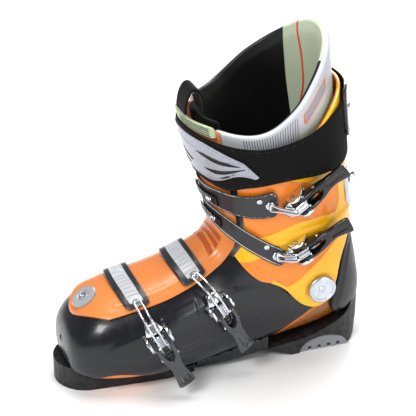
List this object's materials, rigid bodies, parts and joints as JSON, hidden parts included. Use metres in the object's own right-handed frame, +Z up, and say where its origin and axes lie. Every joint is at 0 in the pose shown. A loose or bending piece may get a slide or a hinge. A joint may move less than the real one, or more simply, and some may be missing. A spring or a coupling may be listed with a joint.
{
  "type": "alpine ski boot",
  "caption": "Left alpine ski boot with an open-throat lower shell, outer tongue, pivoting cuff, lever buckles, power strap and removable liner.",
  "frame": {"origin": "on the floor, under the middle of the boot's bounding box", "axes": "+Z up, -Y to the toe, +X to the boot's outer (lateral) side"},
  "size_m": [0.148, 0.335, 0.3562],
  "materials": {
    "shell_plastic": "glossy injected polyurethane, blue-black",
    "sole_rubber": "hard black sole compound",
    "tread_rubber": "grey grip rubber",
    "tongue_plastic": "orange softer plastic, satin gloss",
    "cuff_plastic": "yellow-orange glossy plastic",
    "strap_plastic": "dark grey satin plastic",
    "black_plastic": "black satin plastic",
    "bright_metal": "polished steel",
    "silver_plastic": "silver satin coating",
    "liner_shell": "silver grey moulded liner",
    "liner_lining": "black brushed lining",
    "webbing": "black woven webbing",
    "sage_rubber": "translucent sage green moulding",
    "board_plastic": "black board",
    "insole_foam": "grey felt topped foam"
  },
  "bodies": {
    "shell": {"lower_shell": "shell_plastic", "boot_board": "board_plastic", "liner_foot": "liner_lining", "insole": "insole_foam", "tongue_foot": "tongue_plastic", "tongue_hinge_plate": "silver_plastic", "tongue_hinge_screw": "bright_metal", "pivot_lateral": "silver_plastic", "pivot_medial": "silver_plastic", "heel_guard": "black_plastic", "toe_sole_screw_1": "bright_metal", "toe_sole_screw_2": "bright_metal", "heel_sole_screw_1": "bright_metal", "heel_sole_screw_2": "bright_metal", "toe_sole": "sole_rubber", "heel_sole": "sole_rubber", "heel_tread": "tread_rubber", "buckle_toe_base": "bright_metal", "buckle_toe_pin": "bright_metal", "buckle_instep_base": "bright_metal", "buckle_instep_pin": "bright_metal", "ladder_toe": "strap_plastic", "ladder_toe_rivet": "bright_metal", "ladder_instep": "strap_plastic", "ladder_instep_rivet": "bright_metal"},
    "cuff_assembly": {"cuff": "cuff_plastic", "liner_cuff": "liner_shell", "liner_tongue": "liner_lining", "tongue_shin": "tongue_plastic", "tongue_tab": "sage_rubber", "pull_loop": "webbing", "power_strap": "webbing", "strap_panel": "silver_plastic", "strap_rear_clip": "black_plastic", "strap_clip_screw": "bright_metal", "spine_plate": "silver_plastic", "spine_washer": "black_plastic", "spine_bolt": "bright_metal", "plate_lower": "strap_plastic", "plate_upper": "strap_plastic", "plate_lower_rivet": "bright_metal", "plate_upper_rivet": "bright_metal", "ratchet_block_upper": "black_plastic", "ratchet_block_lower": "black_plastic", "ratchet_screw_upper": "bright_metal", "ratchet_screw_lower": "bright_metal", "buckle_lower_cuff_base": "bright_metal", "buckle_lower_cuff_pin": "bright_metal", "buckle_upper_cuff_base": "bright_metal", "buckle_upper_cuff_pin": "bright_metal"},
    "toe_lever": {"buckle_toe_lever": "black_plastic"},
    "toe_bail": {"buckle_toe_bail": "bright_metal"},
    "instep_lever": {"buckle_instep_lever": "black_plastic"},
    "instep_bail": {"buckle_instep_bail": "bright_metal"},
    "lower_cuff_lever": {"buckle_lower_cuff_lever": "black_plastic"},
    "lower_cuff_bail": {"buckle_lower_cuff_bail": "bright_metal"},
    "upper_cuff_lever": {"buckle_upper_cuff_lever": "black_plastic"},
    "upper_cuff_bail": {"buckle_upper_cuff_bail": "bright_metal"}
  },
  "joints": [
    {"name": "cuff_flex", "type": "hinge", "parent": "shell", "child": "cuff_assembly", "pos_m": [-0.0053, 0.10732, 0.084], "axis": [1, 0, 0], "range_deg": [0, 10], "stiffness_Nm_per_rad": 60},
    {"name": "toe_lever_open", "type": "hinge", "parent": "shell", "child": "toe_lever", "pos_m": [0.05826, -0.07524, 0.06849], "axis": [0.01, -0.8888, -0.4582], "range_deg": [0, 95]},
    {"name": "toe_bail_swing", "type": "hinge", "parent": "toe_lever", "child": "toe_bail", "pos_m": [0.0656, -0.07206, 0.06249], "axis": [0.01, -0.8888, -0.4582], "range_deg": [-110, 0]},
    {"name": "instep_lever_open", "type": "hinge", "parent": "shell", "child": "instep_lever", "pos_m": [0.04741, -0.00625, 0.08565], "axis": [0.2391, -0.8558, -0.4587], "range_deg": [0, 95]},
    {"name": "instep_bail_swing", "type": "hinge", "parent": "instep_lever", "child": "instep_bail", "pos_m": [0.05359, -0.00127, 0.07958], "axis": [0.2391, -0.8558, -0.4587], "range_deg": [-110, 0]},
    {"name": "lower_cuff_lever_open", "type": "hinge", "parent": "cuff_assembly", "child": "lower_cuff_lever", "pos_m": [0.05167, 0.07869, 0.13588], "axis": [-0.0185, 0.4563, -0.8896], "range_deg": [0, 95]},
    {"name": "lower_cuff_bail_swing", "type": "hinge", "parent": "lower_cuff_lever", "child": "lower_cuff_bail", "pos_m": [0.05798, 0.08565, 0.13932], "axis": [-0.0185, 0.4563, -0.8896], "range_deg": [-110, 0]},
    {"name": "upper_cuff_lever_open", "type": "hinge", "parent": "cuff_assembly", "child": "upper_cuff_lever", "pos_m": [0.05835, 0.07316, 0.19327], "axis": [-0.0871, 0.6496, -0.7553], "range_deg": [0, 95]},
    {"name": "upper_cuff_bail_swing", "type": "hinge", "parent": "upper_cuff_lever", "child": "upper_cuff_bail", "pos_m": [0.06527, 0.07901, 0.1975], "axis": [-0.0871, 0.6496, -0.7553], "range_deg": [-110, 0]}
  ],
  "couplings": [
    {"joint": "toe_bail_swing", "follows": "toe_lever_open", "ratio": -1.15},
    {"joint": "instep_bail_swing", "follows": "instep_lever_open", "ratio": -1.15},
    {"joint": "lower_cuff_bail_swing", "follows": "lower_cuff_lever_open", "ratio": -1.15},
    {"joint": "upper_cuff_bail_swing", "follows": "upper_cuff_lever_open", "ratio": -1.15}
  ]
}
